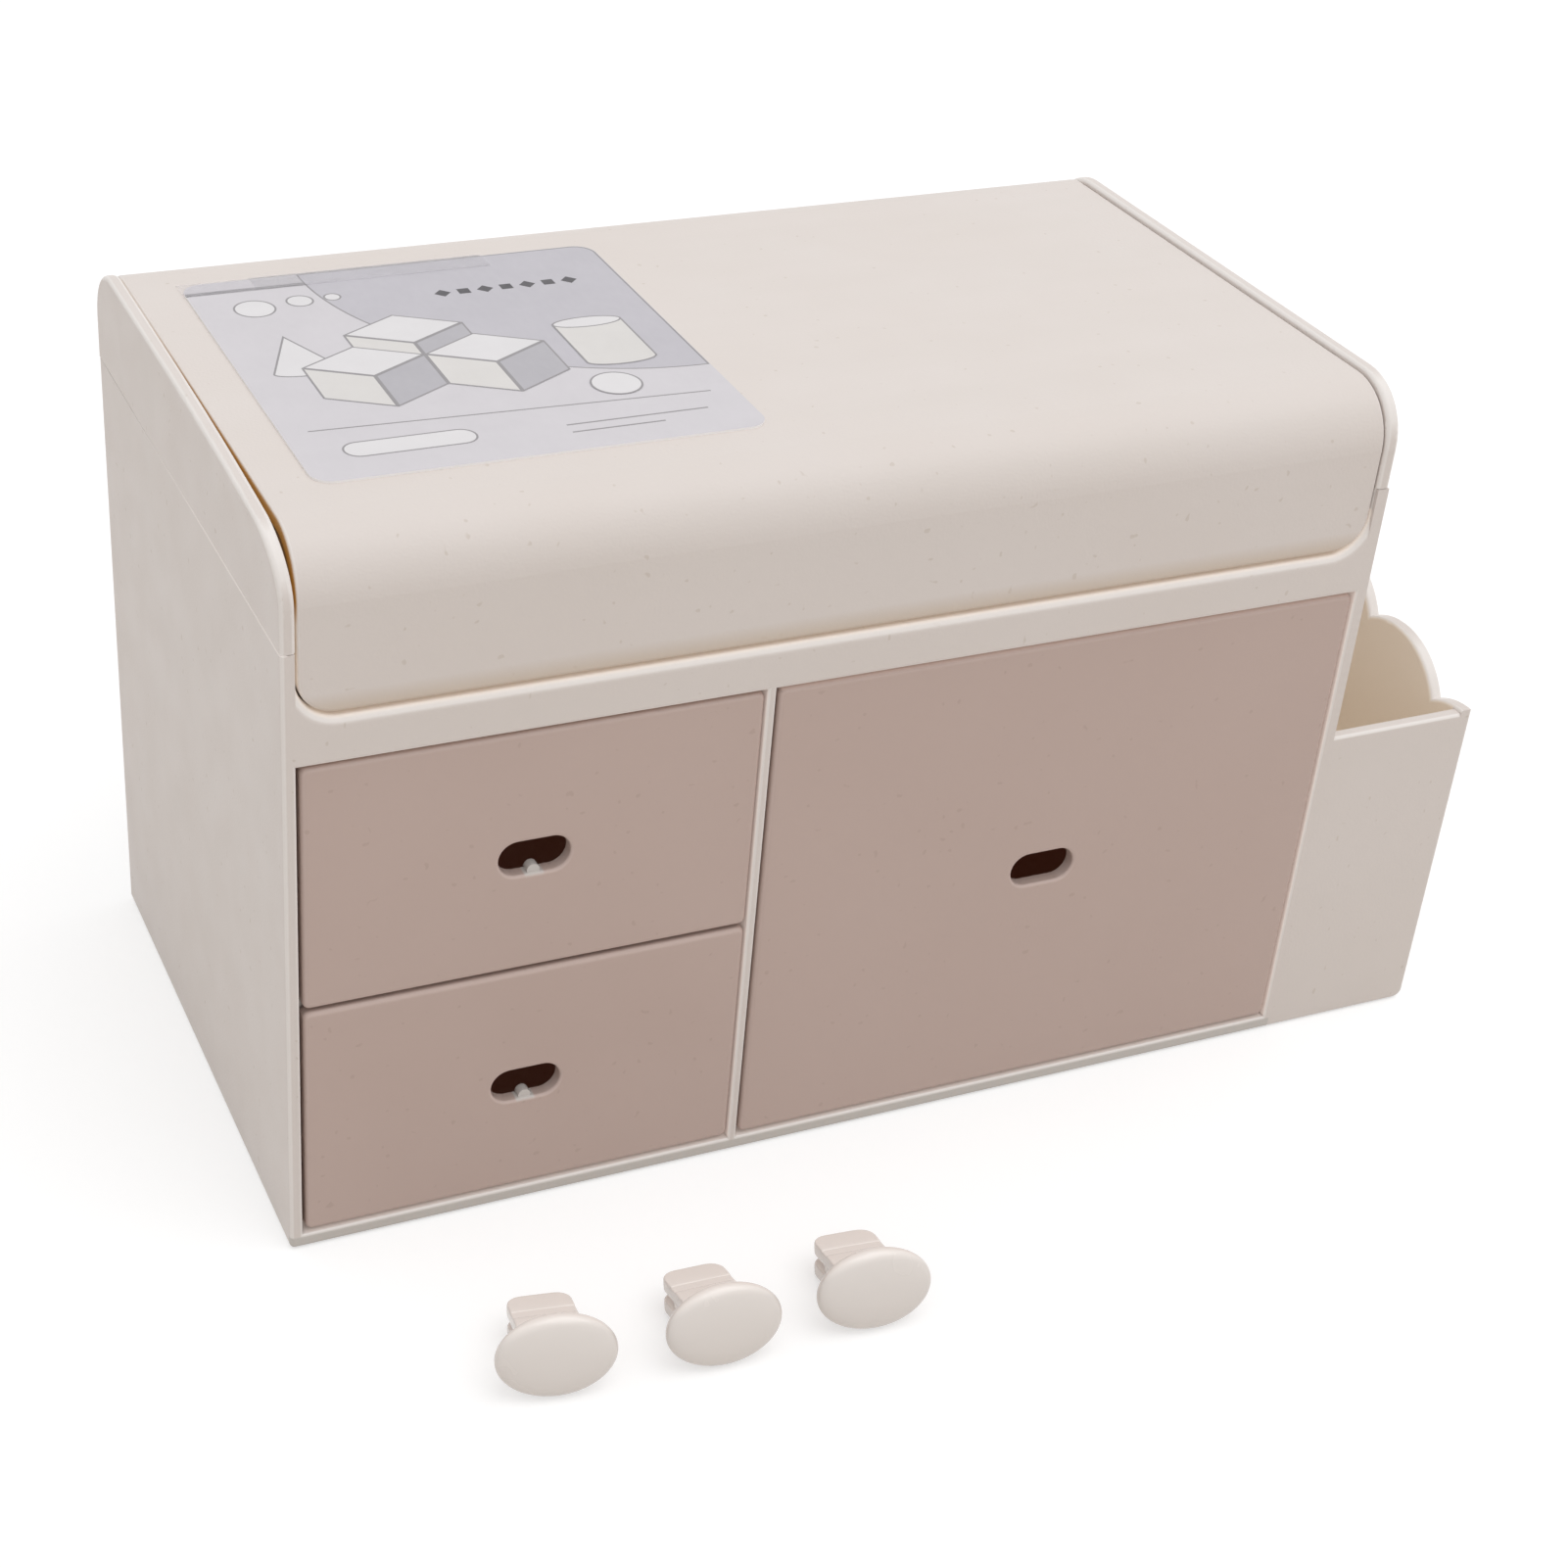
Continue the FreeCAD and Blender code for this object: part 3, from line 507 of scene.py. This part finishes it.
# the printing on the sheet, in mm from the sheet's front left corner, with no lettering
sheetPrint = {
    "layer": 0.008,  # each layer of ink lies this much higher
    "rim": 0.28,  # width of a drawn outline
    "sheetSize": (62.0, 65.0),
    "sheetEdge": 0.1,  # the printing stays this far from the sheet's edge
    "sheetRound": 3.0,
    "wallRadius": 45.0,
    "cubes": [(25.6, 27.5, 10.0), (17.0, 18.5, 10.0), (34.3, 18.5, 10.0)],
    "rod": {"middle": (51.0, 25.0), "radius": 5.2, "height": 13.0, "flat": 0.34},
    "cone": {"middle": (9.0, 32.5), "radius": 4.8, "height": 12.0, "flat": 0.34},
    "ball": {"middle": (47.2, 17.6), "radius": 3.6},
    "rings": [(8.0, 54.5, 3.0), (14.8, 55.6, 2.0), (19.6, 55.8, 1.3)],
    "dots": {"start": (35.0, 53.0), "step": 3.2, "count": 7, "radius": 1.25},
    "label": {"corner": (6.0, 5.5), "size": (18.0, 4.6), "round": 2.2},
    "strokes": [
        ((3.5, 14.5), (58.5, 12.0), 0.30),
        ((36.0, 7.2), (56.0, 7.2), 0.35),
        ((36.0, 5.0), (49.0, 5.0), 0.35),
    ],
}


def ovalPoints(middle, radius, flat=1.0, start=0, end=360, steps=36):
    count = steps if end - start == 360 else steps + 1
    angles = [math.radians(start + (end - start) * i / steps) for i in range(count)]
    return [(middle[0] + radius * math.cos(a), middle[1] + radius * flat * math.sin(a)) for a in angles]


# one printed shape: a face with a drawn rim, made a very thin slab of ink
def printFace(shape, points, layer, fill, rim=None, outline="lineInk"):
    low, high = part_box("insert_card")
    height = high.z + sheetPrint["layer"] * mm * layer
    corners = [shape.verts.new((low.x + u * mm, low.y + v * mm, height)) for u, v in points]
    face = shape.faces.new(corners)
    face.normal_update()
    if face.normal.z < 0:
        face.normal_flip()
    face.material_index = inkNames.index(fill)
    made = [face]
    if rim:
        border = bmesh.ops.inset_region(shape, faces=[face], thickness=rim * mm, use_boundary=True,
                                        use_even_offset=True)["faces"]
        for strip in border:
            strip.material_index = inkNames.index(outline)
        made += border
    bmesh.ops.solidify(shape, geom=made, thickness=sheetPrint["layer"] * mm)


def printCube(shape, corner, size, layer):
    u, v = corner
    across, rise = size * math.cos(math.radians(30)), size / 2
    rim = sheetPrint["rim"]
    left = [(u, v), (u - across, v + rise), (u - across, v + rise + size), (u, v + size)]
    right = [(u, v), (u + across, v + rise), (u + across, v + rise + size), (u, v + size)]
    high = v + rise + size
    top = [(u, v + size), (u + across, high), (u, high + rise), (u - across, high)]
    printFace(shape, left, layer, "creamInk", rim)
    printFace(shape, right, layer, "shadeInk", rim)
    printFace(shape, top, layer, "paleInk", rim)


def printStroke(shape, start, end, width, layer):
    along = Vector(end) - Vector(start)
    side = Vector((-along.y, along.x)).normalized() * width / 2
    points = [Vector(start) - side, Vector(end) - side, Vector(end) + side, Vector(start) + side]
    printFace(shape, [tuple(p) for p in points], layer, "lineInk")


def makeSheetPrint(values):
    shape = bmesh.new()
    rim = values["rim"]
    # darker part of the ground in the rear right corner, kept inside the sheet's rounded corner
    wall = ovalPoints(values["sheetSize"], values["wallRadius"], 1, 180, 270, 40)
    right, rear = [side - values["sheetEdge"] for side in values["sheetSize"]]
    bend = values["sheetRound"]
    wall = [(min(u, right), min(v, rear)) for u, v in wall]
    wall += ovalPoints((right - bend, rear - bend), bend, 1, 0, 90, 8)
    printFace(shape, wall, 1, "wallInk", rim)
    for start, end, width in values["strokes"]:
        printStroke(shape, start, end, width, 1)
    cone = values["cone"]
    u, v = cone["middle"]
    side = ovalPoints((u, v), cone["radius"], cone["flat"], 180, 360, 18) + [(u, v + cone["height"])]
    printFace(shape, side, 2, "paleInk", rim)
    for i, (u, v, size) in enumerate(values["cubes"]):
        printCube(shape, (u, v), size, 3 + i)
    rod = values["rod"]
    u, v = rod["middle"]
    side = ovalPoints((u, v), rod["radius"], rod["flat"], 180, 360, 18)
    side += ovalPoints((u, v + rod["height"]), rod["radius"], rod["flat"], 0, 180, 18)
    printFace(shape, side, 6, "creamInk", rim)
    printFace(shape, ovalPoints((u, v + rod["height"]), rod["radius"], rod["flat"]), 7, "paleInk", rim)
    printFace(shape, ovalPoints(values["ball"]["middle"], values["ball"]["radius"]), 8, "paleInk", rim)
    for u, v, radius in values["rings"]:
        printFace(shape, ovalPoints((u, v), radius), 2, "paleInk", rim)
    dots = values["dots"]
    for i in range(dots["count"]):
        middle = (dots["start"][0] + dots["step"] * i, dots["start"][1])
        turn = 45 * (i % 2)
        printFace(shape, ovalPoints(middle, dots["radius"], 1, turn, 360 + turn, 4), 2, "darkInk")
    u, v = values["label"]["corner"]
    width, height = values["label"]["size"]
    bend = values["label"]["round"]
    ends = ovalPoints((u + width - bend, v + height / 2), bend, 1, -90, 90, 12)
    ends += ovalPoints((u + bend, v + height / 2), bend, 1, 90, 270, 12)
    printFace(shape, ends, 2, "paleInk", rim)
    bmesh.ops.recalc_face_normals(shape, faces=shape.faces)
    mesh = bpy.data.meshes.new("sheetPrint")
    shape.to_mesh(mesh)
    shape.free()
    for name in inkNames:
        mesh.materials.append(inks[name])
    piece = bpy.data.objects.new("sheetPrint", mesh)
    bpy.context.scene.collection.objects.link(piece)
    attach(piece, "lid")


makeSheetPrint(sheetPrint)
print("sheet printed")

# a loose knob in mm: its head faces forward and its stem points back, as it is pushed into a drawer
looseKnob = {
    "headProfile": [  # distance from the middle and place along the stem
        (0, 1.5), (4.1, 1.5), (4.8, 1.0), (5.5, 0.4), (6.9, 0), (7.9, -0.3), (8.35, -1.0), (8.3, -1.7),
        (7.6, -2.4), (5.6, -2.95), (2.8, -3.27), (0, -3.32),
    ],
    "headFlat": 0.705,  # height of the oval head over its width
    "headSteps": 40,
    "halfWidth": 4.5,
    "legs": [  # from and to along the stem, and half of the height there
        {"reach": (-1.2, 11.4), "half": 2.48, "inner": 0.55, "tip": 2.2},
        {"reach": (2.2, 5.6), "half": 2.6, "inner": 1.0, "tip": 0},
        {"reach": (6.8, 11.42), "half": 2.62, "inner": 1.0, "tip": 2.25},
    ],
    "bridge": {"reach": (2.3, 6.7), "half": 1.6, "inset": 0.35},
    "edgeRound": 0.42,
    "tiltDeg": -15.9,  # it lies on its head's rim and its stem's tip
    "turnDeg": {"left": -9.0, "middle": -2.3, "right": -5.0},
}


def addHead(shape, values):
    profile = [shape.verts.new((r * mm, y * mm, 0)) for r, y in values["headProfile"]]
    edges = [shape.edges.new(pair) for pair in zip(profile, profile[1:])]
    bmesh.ops.spin(shape, geom=profile + edges, cent=(0, 0, 0), axis=(0, 1, 0), angle=2 * math.pi,
                   steps=values["headSteps"], use_merge=True)
    bmesh.ops.remove_doubles(shape, verts=shape.verts, dist=0.01 * mm)
    bmesh.ops.scale(shape, vec=(1, 1, values["headFlat"]), verts=shape.verts)


# a block of the stem with rounded edges, whose two far corners are rounder still where tip is given
def addStemBlock(shape, halfWidth, reach, heights, tip, edgeRound):
    block = bmesh.new()
    size = Vector((2 * halfWidth, reach[1] - reach[0], heights[1] - heights[0])) * mm
    middle = Vector((0, (reach[0] + reach[1]) / 2, (heights[0] + heights[1]) / 2)) * mm
    bmesh.ops.create_cube(block, size=1, matrix=Matrix.Translation(middle) @ Matrix.Diagonal((*size, 1)))
    if tip:
        upright = [e for e in block.edges if abs(e.verts[0].co.z - e.verts[1].co.z) > 0.5 * size.z
                   and e.verts[0].co.y > middle.y]
        bmesh.ops.bevel(block, geom=upright, offset=tip * mm, affect="EDGES", segments=5, profile=0.5,
                        material=-1)
    bmesh.ops.bevel(block, geom=block.edges, offset=edgeRound * mm, affect="EDGES", segments=2, profile=0.5,
                    material=-1)
    mesh = bpy.data.meshes.new("stemBlock")
    block.to_mesh(mesh)
    block.free()
    shape.from_mesh(mesh)
    bpy.data.meshes.remove(mesh)


def makeKnob(side, values):
    shape = bmesh.new()
    addHead(shape, values)
    for leg in values["legs"]:
        for heights in ((leg["inner"], leg["half"]), (-leg["half"], -leg["inner"])):
            addStemBlock(shape, values["halfWidth"], leg["reach"], heights, leg["tip"], values["edgeRound"])
    bridge = values["bridge"]
    addStemBlock(shape, values["halfWidth"] - bridge["inset"], bridge["reach"],
                 (-bridge["half"], bridge["half"]), 0, values["edgeRound"] / 2)
    bmesh.ops.recalc_face_normals(shape, faces=shape.faces)
    tilt = Matrix.Rotation(math.radians(values["tiltDeg"]), 4, "X")
    turn = Matrix.Rotation(math.radians(values["turnDeg"][side]), 4, "Z")
    bmesh.ops.transform(shape, matrix=turn @ tilt, verts=shape.verts)
    mesh = bpy.data.meshes.new("looseKnob_" + side)
    shape.to_mesh(mesh)
    shape.free()
    mesh.polygons.foreach_set("use_smooth", [True] * len(mesh.polygons))
    mesh.materials.append(knobWhite)
    piece = bpy.data.objects.new("looseKnob_" + side, mesh)
    bpy.context.scene.collection.objects.link(piece)
    smoothMesh(piece)
    setInPlace(piece, "knob_" + side)
    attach(piece, side + "_knob")
    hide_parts("knob_" + side)


# gives a piece the smoothed mesh, so that its box is the one that shows
def smoothMesh(piece):
    smooth = piece.modifiers.new("smooth", "SUBSURF")
    smooth.levels = smooth.render_levels = 2
    bpy.context.view_layer.update()
    coarse = piece.data
    piece.data = bpy.data.meshes.new_from_object(piece.evaluated_get(bpy.context.evaluated_depsgraph_get()))
    piece.modifiers.clear()
    bpy.data.meshes.remove(coarse)
    piece.data.name = piece.name


# moves a finished mesh to the middle of its node, level with the node's foremost and lowest points
def setInPlace(piece, node):
    low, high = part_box(node)
    corners = [vertex.co for vertex in piece.data.vertices]
    least = [min(corner[i] for corner in corners) for i in range(3)]
    most = max(corner.x for corner in corners)
    shift = ((low.x + high.x - least[0] - most) / 2, low.y - least[1], low.z - least[2])
    piece.data.transform(Matrix.Translation(shift))


for side in looseKnob["turnDeg"]:
    makeKnob(side, looseKnob)
print("knobs made")

studio = {
    "floorSize": 3,
    "floorDrop": 0.2 * mm,  # keeps the floor clear of the underside
    "floorColour": (0.70, 0.655, 0.61),
    "shadowShare": 0.55,  # how strongly the object's shadow shows on the white floor
    "floorLight": 0.92,  # the light on the open floor
    "floorWhite": 1.04,  # the open floor as it shows, a little over white
    "worldStrength": (0.56, 0.94),  # level with the floor and overhead
    "lampPlace": (0.35, -0.45, 1.45),
    "lampSize": 1.3,
    "lampPower": 6.5,
}


# one for what the camera, a reflection or a clear piece shows, nought for light on the object
def addShownMask(tree):
    path = tree.nodes.new("ShaderNodeLightPath").outputs
    seen = addMath(tree, "MAXIMUM", path["Is Camera Ray"], path["Is Glossy Ray"])
    return addMath(tree, "MAXIMUM", seen, path["Is Transmission Ray"])


def addFloor(values):
    shape = bmesh.new()
    bmesh.ops.create_grid(shape, x_segments=1, y_segments=1, size=values["floorSize"])
    mesh = bpy.data.meshes.new("floor")
    shape.to_mesh(mesh)
    shape.free()
    floor = bpy.data.objects.new("floor", mesh)
    bpy.context.scene.collection.objects.link(floor)
    floor.location.z = -values["floorDrop"]
    material = bpy.data.materials.new("paleFloor")
    material.use_nodes = True
    tree = material.node_tree
    tree.nodes.remove(tree.nodes["Principled BSDF"])
    share = values["shadowShare"]
    matt = addNode(tree, "ShaderNodeBsdfDiffuse", {"Color": (*values["floorColour"], 1)})
    shadow = addNode(tree, "ShaderNodeBsdfDiffuse", {"Color": (share, share, share, 1)})
    rest = values["floorWhite"] - share * values["floorLight"]
    white = addNode(tree, "ShaderNodeEmission", {"Color": (1, 1, 1, 1), "Strength": rest})
    shown = addNode(tree, "ShaderNodeAddShader", {0: shadow.outputs[0], 1: white.outputs[0]})
    inputs = {0: addShownMask(tree), 1: matt.outputs[0], 2: shown.outputs[0]}
    mix = addNode(tree, "ShaderNodeMixShader", inputs)
    tree.links.new(mix.outputs[0], tree.nodes["Material Output"].inputs["Surface"])
    mesh.materials.append(material)


def addWorld(values):
    world = bpy.data.worlds.new("studio")
    bpy.context.scene.world = world
    world.use_nodes = True
    tree = world.node_tree
    soft = tree.nodes["Background"]
    soft.inputs["Color"].default_value = (1, 1, 1, 1)
    way = tree.nodes.new("ShaderNodeTexCoord").outputs["Generated"]
    height = addNode(tree, "ShaderNodeSeparateXYZ", {0: way}).outputs[2]
    tree.links.new(addRange(tree, height, 0, 1, *values["worldStrength"]), soft.inputs["Strength"])
    white = addNode(tree, "ShaderNodeBackground", {"Color": (1, 1, 1, 1), "Strength": 1.0})
    inputs = {0: addShownMask(tree), 1: soft.outputs[0], 2: white.outputs[0]}
    mix = addNode(tree, "ShaderNodeMixShader", inputs)
    tree.links.new(mix.outputs[0], tree.nodes["World Output"].inputs["Surface"])


def addLamp(values):
    data = bpy.data.lights.new("softTop", "AREA")
    data.size = values["lampSize"]
    data.energy = values["lampPower"]
    lamp = bpy.data.objects.new("softTop", data)
    bpy.context.scene.collection.objects.link(lamp)
    lamp.location = values["lampPlace"]
    lamp.rotation_euler = (-Vector(values["lampPlace"])).to_track_quat("-Z", "Y").to_euler()


addFloor(studio)
addWorld(studio)
addLamp(studio)
print("studio set")

bpy.context.scene.view_settings.view_transform = "Standard"
